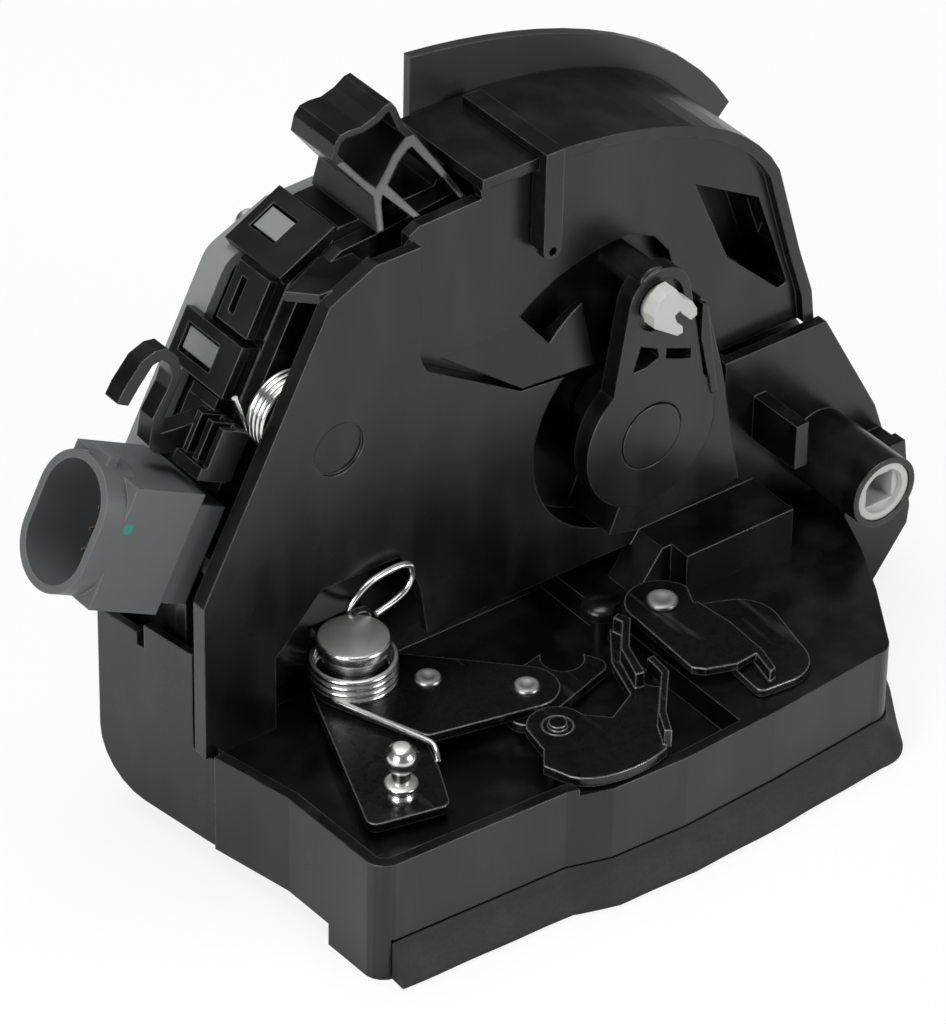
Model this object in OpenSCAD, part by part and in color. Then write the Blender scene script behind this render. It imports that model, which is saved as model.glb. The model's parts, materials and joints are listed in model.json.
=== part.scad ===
// Car door lock: latch, release levers, electric locking drive and plug in one moulded housing.
// Millimetres. The latch face lies on Z = 0, the lever side looks towards -Y, the plug towards -X.
// The origin lies on the latch face, in the middle of the striker mouth's width.

/* [Housing] */
// Front face of the large panel
panel_y = 8; // [7:0.5:9]
// Front face of the upper cover, set back from the panel
cover_y = 12; // [11.5:0.5:13]
// Plane where the front and rear housings meet
joint_y = 22; // [21.5:0.5:23]
// Back of the rear housing
back_y = 36; // [35:0.5:38]
// Depth of the grey electronics cover behind the housing
grey_depth = 6.5; // [5.5:0.5:8]
// Wall of the mouldings
wall = 2.4; // [2:0.1:2.8]
// Lean of the upper left wall from upright, in degrees
lean = 27.2; // [25:0.2:29]
// Distance of the leaning panel edge from the origin, square to that edge
lean_v = 85.6; // [84:0.2:87]
// Height of the seam between the panel and the upper cover
seam_z = 65.4; // [63:0.2:67]
// Height of the flat top of the upper cover
roof_z = 128.4; // [126:0.2:130]

/* [Tray and deck] */
// Height of the tray's left rim
rim_z = 27; // [26.6:0.1:28]
// Height of the raised deck on the right
deck_z = 25.5; // [25:0.1:25.6]
// Height of the mechanism floor
floor_z = 20; // [19:0.1:20.4]
// Height of the side walls' lower edge above the latch face
side_z = 5; // [3:0.5:7]
// Reach of the tray in front of the origin
tray_front = 44.4; // [44:0.2:46]

/* [Latch] */
// Thickness of the face plate
face_t = 2.5; // [2:0.1:3]
// Width of the striker mouth
mouth_w = 14; // [13:0.5:16]
// Striker's seat, measured from the origin along Y
seat_y = 2; // [0:0.5:4]
// Distance of the claw pin from the striker's seat
claw_x = 19; // [18:0.5:20]
// Radius of the claw's round back
claw_r = 17; // [16:0.5:18]
// Reach of the claw's two prongs
prong_r = 25; // [24:0.5:26]
// Thickness of the claw and the pawl
claw_t = 5; // [4:0.1:5.4]
// Radius of the claw pin
claw_pin_r = 4; // [3:0.25:5]
// Radius of the pawl shaft
pawl_shaft_r = 3; // [2.5:0.25:3.5]
// Angle of the claw from latched to open
open_a = 55; // [50:1:60]
// Radius of the threaded fixing holes, at the thread's crest
fix_r = 2.5; // [2:0.1:3]
// Length of the threaded fixing holes
fix_l = 6; // [5:0.5:7]

/* [Inside lever] */
// Radius of the big post's head
head_r = 7.2; // [6:0.1:7.4]
// Radius of the post under its head
post_r = 5; // [4:0.1:5.4]
// Height of the post's top
post_z = 35.2; // [34.5:0.1:37]
// Thickness of the lever sheets
sheet_t = 2; // [1.8:0.1:2.1]
// Diameter of the ball on the inside lever
ball_d = 6.5; // [5:0.1:7]
// Mean radius of the post's spring
coil_r = 8.1; // [7.8:0.1:8.2]
// Wire of the post's spring
coil_wire = 1.3; // [1:0.1:1.4]

/* [Lock lever] */
// Radius of the lock lever's disc
disc_r = 15.5; // [14:0.5:16]
// Radius of the round well behind the lock lever
well_r = 23.5; // [22.5:0.5:24.5]
// Thickness of the lock lever
lever_t = 4; // [3:0.25:5]
// Front face of the lock lever
lever_y = 1.6; // [1:0.2:2]
// Angle of the lock lever from locked to unlocked
lock_a = 25; // [20:1:28]

/* [Key tube] */
// Outer radius of the key tube
tube_r = 7.75; // [7.5:0.25:8.5]
// Radius of the drive sleeve's shaft
spindle_r = 5.9; // [5.5:0.1:6.1]
// How far the key tube stands in front of the origin
tube_front = 12.7; // [10:0.5:15]
// Width of the square hole in the drive sleeve
square_w = 6.6; // [5.5:0.1:7]

/* [Plug] */
// Height of the plug's oval socket
socket_h = 27.4; // [26:0.2:29]
// Width of the plug's oval socket
socket_w = 19.4; // [18:0.2:20]
// Length of the plug outside the leaning wall
socket_l = 21.5; // [18:0.5:24]
// Wall of the plug's socket
socket_wall = 1.6; // [1.2:0.1:2]

/* [Drive] */
// Number of teeth on the drive wheel
wheel_teeth = 30; // [28:1:32]
// Distance from tooth to tooth along the rim
wheel_pitch = 3.1; // [3:0.05:3.2]
// Radius of the drive motor
motor_r = 7.4; // [6:0.1:7.6]

/* [Hidden] */
$fn = 64;
// Gap between still pieces that lie against each other
gap = 0.2;
// Gap round a turning shaft
run = 0.05;
// Gap between pieces that pass each other
pass = 0.4;
sin_l = sin(lean);
cos_l = cos(lean);
black = "#1d1d20";
steel = "#b9bcc0";
coated = "#26262a";

// A point of the XZ plane from its place along (u) and square to (v) the leaning wall
function pt(u, v) = [u * sin_l - v * cos_l, u * cos_l + v * sin_l];
// Points on an arc round c, from angle a0 to a1
function arc(c, r, a0, a1, n = 8) =
  [for (i = [0:n]) let (a = a0 + (a1 - a0) * i / n) [c[0] + r * cos(a), c[1] + r * sin(a)]];
// Points on a cubic curve, without its first point
function curve(p, n = 10) =
  [for (i = [1:n]) let (t = i / n, s = 1 - t)
    s * s * s * p[0] + 3 * s * s * t * p[1] + 3 * s * t * t * p[2] + t * t * t * p[3]];
function unit(v) = v / norm(v);
// Outward normal of the edge a to b on an outline that runs anticlockwise
function edge_n(a, b) = let (d = unit(b - a)) [d[1], -d[0]];
// The corner b between a and c, moved outwards by d
function moved(a, b, c, d) = let (m = edge_n(a, b), n = edge_n(b, c)) b + d * (m + n) / (1 + m * n);
// A closed anticlockwise outline moved outwards by d
function grown(p, d) = let (n = len(p)) [for (i = [0:n - 1]) moved(p[(i + n - 1) % n], p[i], p[(i + 1) % n], d)];
// A strip along the outline p, from its corner i0 to i1 and d wide
function band(p, d, i0, i1) = let (q = grown(p, -d), n = len(p))
  concat([for (i = [i0:i1]) p[i % n]], [for (i = [i1:-1:i0]) q[i % n]]);
function reversed(p) = [for (i = [len(p) - 1:-1:0]) p[i]];

// Extrudes an XZ drawing from y0 to y1
module along_y(y0, y1) translate([0, y1, 0]) rotate([90, 0, 0]) linear_extrude(y1 - y0) children();
// Extrudes an XY drawing from z0 to z1
module along_z(z0, z1) translate([0, 0, z0]) linear_extrude(z1 - z0) children();
// A round bar along Y
module bar_y(x, z, r, y0, y1) translate([x, y1, z]) rotate([90, 0, 0]) cylinder(r = r, h = y1 - y0);
// A round bar along Z
module bar_z(x, y, r, z0, z1) translate([x, y, z0]) cylinder(r = r, h = z1 - z0);
// A box from one corner to the other
module block(a, b) translate(a) cube(b - a);
// Places a drawing made in wall coordinates: X along the wall (u), Y outwards (v), Z towards +Y
module on_wall() multmatrix([[sin_l, -cos_l, 0, 0], [0, 0, 1, 0], [cos_l, sin_l, 0, 0], [0, 0, 0, 1]]) children();
module wall_block(u0, u1, v0, v1, y0, y1) on_wall() block([u0, v0, y0], [u1, v1, y1]);

// Places that several pieces share
post = [-27.8, 12.4];
post_seat = floor_z;
lever_c = [34.4, 61.8];
clip_c = [35.2, 91.5];
boss_c = [33.7, 97.0];
boss_r = 3.2;
tube_c = [82.3, 36.5];
spring_c = [-41.5, 91];
pawl_c = [-7.9, -25];
outside_c = [30.4, -8.4];
button_c = [22.8, 0.7];
claw_c = [-claw_x, seat_y];
latch_z = face_t + 0.6;
plate_z = latch_z + claw_t + 0.9;
plate_t = 2;
under_z = floor_z - wall;
// Round room behind the post, in the tray's and the panel's walls
notch_r = 8.9;
eye_r = 8.2;
mouth_top = under_z - 1.4;
inside_z = floor_z + 1.5;
transfer_z = inside_z + sheet_t + 0.3;
hook_z = transfer_z - sheet_t - 0.25;
release_z = transfer_z + sheet_t + 0.25;
outside_z = deck_z + pass;
step_up = 2.4;
step_x = -16.3;
step_z = 120.9;
right_low = [100.5, 30.4];
right_mid = [97.3, 39.5];
right_seam = [81.4, seam_z];

// Outline of the panel's edge, from the tray up the leaning wall to the step
left_run = [[-65.2, deck_z], [-65.2, 60.2], pt(25.2, lean_v), pt(86, lean_v), [-26, step_z], [step_x, step_z]];
step_run = concat(arc([step_x + 8, 98], 8, 180, 222, 5), [[7.5, 79.4], [25.8, 77.6], lever_c]);
panel_pts = concat(reversed(left_run), [[right_low[0], deck_z], right_low, right_mid,
  right_seam + [1.6, -gap], [lever_c[0], seam_z - gap]], reversed(step_run));
roof_run = concat([[-1, roof_z], [17, roof_z]],
  curve([[17, roof_z], [38, roof_z - 1.4], [62, 120.5], [70.6, 103.8]], 12), [[76.8, 83.1], [80.5, 72.4]]);
cover_pts = concat([[step_x + gap, 88], [8, 76], [21, 75.6], [lever_c[0], seam_z]], [right_seam],
  reversed(roof_run), [[0.6, 122.8], [-13.5, 122.3], [step_x + gap, step_z]]);
// The roof's line moved inwards by d, without its two ends
function under_roof(d) = let (r = reversed(roof_run)) [for (i = [1:len(r) - 2]) moved(r[i - 1], r[i], r[i + 1], -d)];
rear_v = lean_v - 2.2;
rear_pts = concat([[-61.5, side_z], [92, side_z], [98, 28], [96, 40], [82.4, 64.6], [77.6, 65.6], [77, 72]],
  under_roof(wall + gap), [[-1, roof_z - wall - gap], [-3, 121.7], [-24.6, 120.9], [-27, 117.2],
  pt(84.5, rear_v), pt(26, rear_v), [-61.5, 59]]);
web_pts = concat([[-62, deck_z], [right_low[0], deck_z], right_low, right_mid, [80.8, seam_z - gap],
  [78.4, seam_z - gap], [77.6, seam_z + 1], [75, 72], [73, 84], [67, 102], [59, 112], [35, 121.5], [-1, 121.4], [-16, 119.4], [-26.4, 118.4]],
  [pt(85, rear_v), pt(26.5, rear_v), [-62, 60.6]]);
grey_pts = concat([[-58, 41], [26, 41], [26, 112], [18, 119], [-26.5, 117.6]],
  [for (p = arc(pt(79, lean_v - 5.2), 6, 117, 153, 5)) p], [pt(24, lean_v + 0.8), [-62, 52]]);

// Outline of the tray, anticlockwise from its rear left corner
tray_pts = concat([[-65.2, joint_y - gap], [-65.2, 9.5], [-60.6, -12], [-59.9, -33.6]],
  arc([-55.4, -34.6], 4.5, 190, 262, 4), [[-18, -40.8], [-9, 0.8 - tray_front], [8, -tray_front],
  [30, 1 - tray_front], [56.5, -41.2]], arc([58, -36.7], 4.5, 275, 325, 4), [[70.6, -25], [77, -13], [84, 4],
  [84, joint_y - gap]]);
tray_in = grown(tray_pts, -wall);
platform_pts = [[26.3, 40.9], [33, 39.2], [58.3, 40.9], [52.6, 69.3], [48.7, 83.8], [46.6, 88], [46, 87], [48.9, 66],
  lever_c];
pad_pts = [[8, 38], [58, 38], [58, 70], [50, 78], [46, 104], [4, 104], [-2, 92], [8, 70]];

module lever_shape(extra = 0) {
  translate(lever_c) circle(r = disc_r + extra);
  hull() {
    translate(lever_c + [1.2, 3]) circle(r = disc_r - 3.4 + extra, $fn = 32);
    translate(clip_c + [0, 0.5]) circle(r = 7.4 + extra, $fn = 32);
  }
}
// The room that the lock lever's arm needs beside the round well
module arm_room() polygon(concat([lever_c, [51, 79.5], [49.6, 84.4], [46.9, 89], [45.6, 94], [42, 98.6]],
  arc(lever_c, norm(boss_c - lever_c) + boss_r + 1.4, 88, 103 + lock_a, 8)));
module mouth_shape(extra = 0) {
  translate([0, seat_y]) circle(d = mouth_w + 2 * extra);
  translate([-mouth_w / 2 - extra, seat_y]) square([mouth_w + 2 * extra, back_y + 10]);
}

module main_housing() color(black) {
  bay = [[-49, deck_z - 1], [35.5, deck_z - 1], [35.5, 32], [-13.6, 32.2], [-15.5, 44], [-20, 53], [-38.5, 53.3], [-49, 42]];
  well_floor = joint_y - 5.8;
  difference() {
    union() {
      along_y(panel_y, panel_y + wall) polygon(panel_pts);
      // flange along the panel's left edge
      along_y(panel_y + 1, panel_y + 3.4) polygon(band(panel_pts, 1.4, 1, 5));
      // step up to the panel from the cover behind it
      along_y(panel_y + 1, cover_y - gap) polygon(band(panel_pts, 2, 12, 20));
      // cup round the lock lever
      along_y(panel_y + 1, well_floor + 1) intersection() {
        translate(lever_c) circle(r = well_r + 1.6);
        polygon([[-20, 30], [80, 30], [80, seam_z - gap], [lever_c[0], seam_z - gap], [20, 75], [-20, 75]]);
      }
    }
    along_y(panel_y - 1, well_floor) {
      translate(lever_c) circle(r = well_r);
      arm_room();
    }
    along_y(panel_y - 1, panel_y + 7) polygon(bay);
    // shallow round dimple
    bar_y(-34.6, 83.6, 5.6, panel_y - 1, panel_y + 0.7);
    bar_y(tube_c[0], tube_c[1], tube_r - 1, panel_y - 1, panel_y + 7);
    bar_y(lever_c[0], lever_c[1], 4, well_floor - 1, well_floor + 2);
    left_cover_room();
  }
  difference() {
    union() {
      along_y(well_floor, joint_y - 3.4) polygon(pad_pts);
      along_y(joint_y - 3.5, joint_y - gap) difference() {
        polygon(web_pts);
        polygon(grown(reversed(pocket_pts), 1.8));
      }
      // raised platform beside the lock lever
      along_y(lever_y + 1.6, well_floor + 0.5) difference() {
        polygon(platform_pts);
        translate(lever_c) circle(r = disc_r + 0.6);
      }
      // boss and ribs that tie the panel to the wall behind it
      bar_y(spring_c[0], spring_c[1], 5.2, panel_y + wall - 0.5, joint_y - 1);
      block([-30, panel_y + 1, 98], [-28, joint_y - 1, 112]);
      block([62, panel_y + 1, 44], [64, joint_y - 1, 60]);
      block([-60, panel_y + 1, 62], [-58, joint_y - 1, 66]);
      // shelf beside the guide bracket
      along_z(115, 117) polygon([[-41.5, 15.6], [-37, 11], [-24, 11], [-24, joint_y - 1], [-30, joint_y - 1]]);
      // stepped box under the platform
      block([39.6, -4.5, deck_z], [66.2, panel_y + 1, 34.6]);
      along_y(0.4, panel_y + 1) polygon([[31, deck_z], [39.7, deck_z], [39.7, 34.6], [37.5, 34.6]]);
      // key tube, its rib and the fin beside it
      bar_y(tube_c[0], tube_c[1], tube_r, -tube_front, joint_y - 1);
      block([65.4, -5, 44.6], [68.4, panel_y + 1, 54.6]);
      block([68.2, panel_y - 3, 44.2], [75.4, panel_y + 1, 47]);
      // lower right wing
      along_y(1, 4) polygon([[84.8, 1.6], [93.2, 1.6], [101.6, 13], [102, 17], [99.6, 34], [90, 34], [84.8, 27]]);
      block([91, 3, 27], [99, panel_y + 1, 33.6]);
      // seats of the drive on the rear face
      bar_y(wheel_c[0], wheel_c[1], 4.5, joint_y - 1, joint_y + 3);
      block([worm_x1 + 0.4, joint_y - 1, worm_z - 3], [worm_x1 + 3.4, 34, worm_z + 3]);
      for (x = [motor_x0 + 3, motor_x0 + 19])
        block([x, joint_y - 1, worm_z - motor_r - 2.2], [x + 2, back_y - 3, worm_z - motor_r - 0.1]);
    }
    // key tube's mouth and bearing
    bar_y(tube_c[0], tube_c[1], spindle_r + 0.6, -tube_front - 1, 0.3);
    bar_y(tube_c[0], tube_c[1], spindle_r + run, -1, joint_y + 1);
    bar_y(lever_c[0], lever_c[1], 4, well_floor - 1, joint_y - 3.4);
    bar_z(post[0], post[1], notch_r, deck_z - 1, post_z + 1);
    bar_y(wheel_c[0], wheel_c[1], 2.5, joint_y - 0.5, joint_y + 4);
    translate([worm_x1, worm_y, worm_z]) rotate([0, 90, 0]) cylinder(r = 1.2 + run, h = 6);
  }
}
// Space that the left cover takes
module left_cover_room() block([-80, 12.4, deck_z - 1], [-62.2, joint_y + 20, 47.3]);

// Tray with its walls, the mechanism floor and the raised deck
module latch_housing() color(black) {
  split_x = 23;
  difference() {
    along_z(0, rim_z) polygon(tray_pts);
    along_z(-1, under_z) polygon(tray_in);
    along_z(floor_z, rim_z + 1) intersection() {
      polygon(tray_in);
      translate([-90, -60]) square([90 + split_x, 100]);
    }
    // hollow under the deck
    along_z(under_z - 1, deck_z - wall) intersection() {
      polygon(tray_in);
      translate([split_x + wall, -60]) square([100, 100]);
    }
    // the rim steps down to the deck beside the release lever, and under the panel
    along_z(deck_z, rim_z + 1) translate([-15.5, -60]) square([120, 100]);
    along_z(deck_z, rim_z + 1) translate([-90, panel_y - gap]) square([120, 40]);
    // side walls stop short of the ground, and the rear is open over the latch
    block([-90, -24, -1], [-56, 60, side_z]);
    block([62, -30, -1], [100, 60, side_z]);
    block([-57, 10, -1], [76, 60, under_z - 0.4]);
    block([-80, 6.2, -1], [-62.4, 60, rim_z + 1]);
    bar_z(post[0], post[1], notch_r, floor_z, deck_z + 1);
    // bores for the posts and shafts
    bar_z(post[0], post[1], post_r - 1, under_z - 1, floor_z + 1);
    bar_z(pawl_c[0], pawl_c[1], pawl_shaft_r + 0.2, under_z - 1, floor_z + 1);
    bar_z(outside_c[0], outside_c[1], 2.5, under_z, deck_z + 1);
    bar_z(button_c[0], button_c[1], 2, under_z, deck_z + 1);
  }
}

// Ramp from the cover down to the panel's plane, in front of the lock lever's room
ramp_room = 30.4;
module ramp() difference() {
  intersection() {
    translate([-20, 0, 0]) rotate([90, 0, 90]) linear_extrude(60)
      polygon([[cover_y + 1, 91.4], [cover_y, 91.4], [panel_y - 0.3, 78.4], [cover_y + 1, 78.4]]);
    along_y(0, joint_y) polygon([[-9.5, 92], [24.6, 91.2], [24.6, 78.8], [8, 79.8]]);
  }
  along_y(0, joint_y) difference() {
    arm_room();
    translate(lever_c) circle(r = ramp_room);
  }
}
module cover_shell() difference() {
  union() {
    along_y(cover_y, cover_y + wall) polygon(cover_pts);
    // roof and right side
    along_y(cover_y - 2, back_y - 0.3)
      polygon(concat(roof_run, [right_seam, right_seam - [wall + 0.1, 0], [78, 72.2]], under_roof(wall), [[-1, roof_z - wall]]));
    along_y(cover_y + 1, joint_y + 3.4) polygon(grown(reversed(pocket_pts), 1.6));
  }
  along_y(0, joint_y - 2) {
    translate(lever_c) circle(r = well_r);
    arm_room();
  }
  along_y(cover_y - 5, joint_y + 2) polygon(pocket_pts);
  // slot in the pocket's right wall
  translate([67.9, 15.4, 87.5]) rotate([0, 20.4, 0]) cube([9, 3, 14], center = true);
  // hole for the strap clip's tongue
  block([strap_x + 0.6, cover_y - 1, strap_end + 0.7], [strap_x + strap_w - 0.6, cover_y + wall + 1, strap_end + 3.9]);
}
module upper_cover() color(black) {
  cover_shell();
  ramp();
}
pocket_pts = [[51.3, 106.8], [67.4, 97.8], [75.6, 75.2], [73.4, 74.6], [60.2, 86.8]];

module rear_housing() color(black) difference() {
  union() {
    along_y(joint_y, back_y - wall + 0.1) difference() {
      polygon(rear_pts);
      polygon(grown(rear_pts, -wall));
    }
    along_y(back_y - wall, back_y) polygon(rear_pts);
    snap_frame(60.2, 70.6, 21.6, 39.2);
    snap_frame(72.4, 84.2, 21.6, 31);
    top_frame();
  }
  // room for the cover's pocket
  along_y(joint_y - 1, joint_y + 3.8) polygon(grown(reversed(pocket_pts), 2));
  // window behind the drive
  along_y(back_y - wall - 1, back_y + 1) polygon([[-50, 50], [16, 50], [16, 107], [-34, 107], [-50, 76]]);
  // open over the latch, with the striker's mouth through the back wall
  block([-51, joint_y - 1, side_z - 1], [53, back_y - wall, side_z + wall + 1]);
  along_z(-1, mouth_top) mouth_shape(0.6);
  bar_y(wheel_c[0], wheel_c[1], 3, back_y - wall - 1, back_y + 1);
}
// A frame that holds a lug of the electronics cover, on the leaning wall
module snap_frame(u0, u1, y0, y1) {
  top_v = lean_v + 3;
  difference() {
    union() {
      wall_block(u0, u1, top_v - 2, top_v, y0, y1);
      wall_block(u0, u1, rear_v - wall + 0.2, top_v - 1, y0 + 0.8, y0 + 3);
    }
    wall_block(u0 + 2.3, u1 - 2.3, top_v - 4, top_v + 1, y0 + 5.6, y1 - 2.2);
  }
}
// The same frame on the short upper slope
module top_frame() {
  difference() {
    union() {
      on_slope() block([20.5, 0.6, 22], [34.5, 2.6, 39.2]);
      on_slope() block([20.5, -1.6, 22.8], [34.5, 1.2, 25]);
    }
    on_slope() block([25, -0.4, 29.4], [31.2, 5, 37]);
  }
}
slope_a = 28;
slope_v = 116.6;
module on_slope() rotate([0, -slope_a, 0]) translate([0, 0, slope_v])
  multmatrix([[1, 0, 0, 0], [0, 0, 1, 0], [0, 1, 0, 0], [0, 0, 0, 1]]) children();

corner_r = 12;
module left_cover() color(black) difference() {
  along_z(side_z, 47) polygon([[-63.8, 6.6], [-64.3, 9.4], [-68.7, back_y + 1.9], [-60.4, back_y + 1.9],
    [-60.4, back_y + gap], [-66.7, back_y + gap], [-62.9, 9.6], [-62.7, 6.6]]);
  // notch and lower rear stretch of the upper edge
  block([-80, 25.4, 44.4], [-40, back_y + 10, 60]);
  block([-80, 25.4, 41.6], [-60, 27.4, 60]);
  translate([-80, 0, 0]) rotate([90, 0, 90]) linear_extrude(30) polygon(concat([[back_y + 4, side_z - 1], [back_y + 1.9 - corner_r, side_z - 1]],
    arc([back_y + 1.9 - corner_r, side_z + corner_r], corner_r, 270, 360, 6), [[back_y + 4, side_z + corner_r]]));
  // the upper stretch is set back behind the panel's edge
  block([-80, 0, 25.4], [-60, 12.7, 60]);
}

module electronics_cover() color("#7d7f80") difference() {
  union() {
    along_y(back_y + gap, back_y + grey_depth) polygon(grey_pts);
    // lugs that show in the snap frames
    wall_block(63.2, 67.6, lean_v - 2, lean_v + 2.3, 27.6, back_y + 0.8);
    on_slope() block([25.7, 0.2, 29.8], [30.6, 2.2, back_y + 0.8]);
    on_slope() block([25.7, -3, back_y + gap], [30.6, 1, back_y + 0.8]);
    for (x = [-30, -8, 14]) block([x, back_y + grey_depth - 1, 46], [x + 1.6, back_y + grey_depth + 0.8, 106]);
  }
  along_y(back_y, back_y + grey_depth - wall) polygon(grown(grey_pts, -wall));
  for (p = screw_pts) bar_y(p[0], p[1], 1.5, back_y, back_y + grey_depth + 2);
}
screw_pts = [[-52, 46], [20, 46], [20, 108], [-30, 113]];

module oval(w, h) hull() for (s = [-1, 1]) translate([s * (h - w) / 2, 0]) circle(d = w);
socket_u = 32;
socket_y = 23.7;
root_v = lean_v + 5;
module connector_socket() color("#6e7072") on_wall() difference() {
  union() {
    translate([socket_u, root_v + socket_l - 8, socket_y]) rotate([-90, 0, 0]) linear_extrude(8)
      oval(socket_w, socket_h);
    // square body behind the oval mouth
    translate([socket_u - socket_h / 2 + 1, root_v, socket_y - socket_w / 2])
      cube([socket_h - 2.4, socket_l - 5, socket_w]);
    translate([socket_u - socket_h / 2 + 3, rear_v + gap, socket_y - socket_w / 2 + 1])
      cube([socket_h - 7, root_v - rear_v, back_y - socket_y + socket_w / 2 - 1]);
    // lug on the upper side
    translate([socket_u + socket_h / 2 - 2, root_v + socket_l - 4.4, socket_y - 3]) cube([3.4, 2.4, 6]);
  }
  translate([socket_u, root_v + 3, socket_y]) rotate([-90, 0, 0]) linear_extrude(socket_l)
    oval(socket_w - 2 * socket_wall, socket_h - 2 * socket_wall);
}
pin_n = 4;
module connector_pins() color("#c9a227") on_wall()
  for (i = [0:pin_n - 1], s = [-1, 1])
    translate([socket_u + (i - (pin_n - 1) / 2) * 4.4 - 0.4, root_v + 3, socket_y + s * 2.6 - 0.4])
      cube([0.8, 9, 0.8]);
module circuit_board() color("#2f5d3a") along_y(back_y + 1.2, back_y + 2.6)
  polygon([[-34, 78], [6, 78], [6, 47], [16, 47], [16, 112], [-26, 112], [-34, 100]]);
module microswitches() color("#3a3a3f") for (x = [-24, -8, 8]) {
  block([x - 4, back_y - 1.6, 100], [x + 4, back_y + 1.2, 105.6]);
  block([x - 1, back_y - 2.4, 101.6], [x + 1, back_y - 1.4, 103.6]);
}
module cover_screws() color(steel) for (p = screw_pts) {
  bar_y(p[0], p[1], 2.6, back_y + grey_depth, back_y + grey_depth + 1.6);
  bar_y(p[0], p[1], 1.4, back_y + 0.4, back_y + grey_depth + 0.2);
}

module top_shield() color(black) along_y(back_y - 0.2 + gap, back_y + 2) polygon(concat(
  [[1.8, roof_z - 3], [1.8, 140.6]], curve([[1.8, 140.6], [30, 138], [64, 128], [79.4, 102.6]], 14),
  [[76, 99]], reversed(curve([[1.8, roof_z - 3], [30, 124], [60, 115.6], [76, 99]], 12))));

strap_x = 11.8;
strap_w = 4.2;
strap_end = 108.6;
module strap_clip() color(black) {
  mid_x = strap_x + strap_w / 2;
  difference() {
    union() {
      along_y(cover_y - 4.4, cover_y - 2.2) hull() {
        translate([mid_x, strap_end]) circle(d = strap_w, $fn = 32);
        translate([strap_x, roof_z - 1]) square([strap_w, 2.6]);
      }
      along_y(cover_y - 4.4, cover_y - gap) translate([strap_x, strap_end]) square([1.4, roof_z - wall - strap_end - 0.3]);
      block([strap_x, cover_y - 4.4, roof_z + gap], [strap_x + strap_w, 33, roof_z + 1.8]);
    }
    bar_y(mid_x, strap_end - 0.2, 0.9, 0, cover_y - 1);
  }
  block([mid_x - 1.2, cover_y - 2.4, strap_end + 1], [mid_x + 1.2, cover_y + wall, strap_end + 3.6]);
}

// Guide bracket: thin walls and ribs, with their lower ends leaning forward
bracket_y0 = 23;
rib_y0 = 15;
bracket_out = [[-2.7, 126.1], [-7, 134], [-9.4, 136.8], [-11.2, 141.2], [-12.2, 142.6], [-13.6, 142.4], [-15.8, 140.9],
  [-18.8, 139.9], [-21.5, 140.1], [-23.6, 139.8], [-24.9, 138.2], [-25.6, 135.2], [-20.9, 129.2], [-19.3, 127.2],
  [-20.9, 121.9], [-19.5, 121.9], [-18.1, 126], [-17.3, 127], [-12.7, 121.9], [-11.1, 121.9], [-15.6, 128.1],
  [-12.1, 130.6], [-9.3, 132], [-8.2, 132.2], [-4.3, 126.1]];
module guide_bracket() color(black) difference() {
  union() {
    along_y(rib_y0, back_y - 0.4) polygon(bracket_out);
    // foot of the right rib, in front of the rear housing
    along_y(rib_y0, joint_y - gap) polygon([[-3.6, 127.4], [-4.5, 127], [-2, 122], [-0.6, 122]]);
  }
  along_y(rib_y0 - 1, back_y + 1) polygon([[-24.3, 135.9], [-23.6, 138], [-22.4, 138.7], [-18.6, 138.5], [-15.2, 139.4],
    [-13, 140.9], [-12.5, 140.6], [-10.6, 136.2], [-8.7, 134], [-12.7, 132], [-15.7, 129.8], [-18.1, 128.3], [-19.8, 130]]);
  translate([-40, 0, 0]) rotate([90, 0, 90]) linear_extrude(60)
    polygon([[10, 118], [rib_y0 - 2.4, 118], [bracket_y0, 133.8], [bracket_y0, 150], [10, 150]]);
}

module cable_hook() color(black) {
  base_v = lean_v + 0.4;
  // foot on the leaning wall and its upright ribs
  wall_block(47.4, 59.4, rear_v + gap, base_v + 1.6, 23.4, 31);
  wall_block(47.4, 57.2, base_v, base_v + 1.8, 14, 31);
  for (y = [14, 17.4, 20.8]) wall_block(48, 57.4, base_v + 1, base_v + 6.6, y, y + 1.4);
  wall_block(47, 49.4, base_v + 1, base_v + 8, 14, 22.2);
  // open hook
  along_y(22, 26) polygon([[-73.8, 101.9], [-72.3, 104.4], [-68.5, 108.7], [-65.2, 110], [-62.8, 109.6], [-60.4, 106.8],
    [-59.6, 102.5], [-61.2, 99.4], [-63.6, 95], [-64.4, 91.6], pt(57, base_v + 1), pt(50.5, base_v + 1),
    [-65.1, 87.3], [-67.1, 90.1], [-66.2, 95.4], [-62.8, 100.6], [-61.8, 103.2], [-62.4, 106], [-64, 107.6],
    [-66, 107.2], [-69, 103.8], [-71.5, 100.6]]);
}

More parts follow.
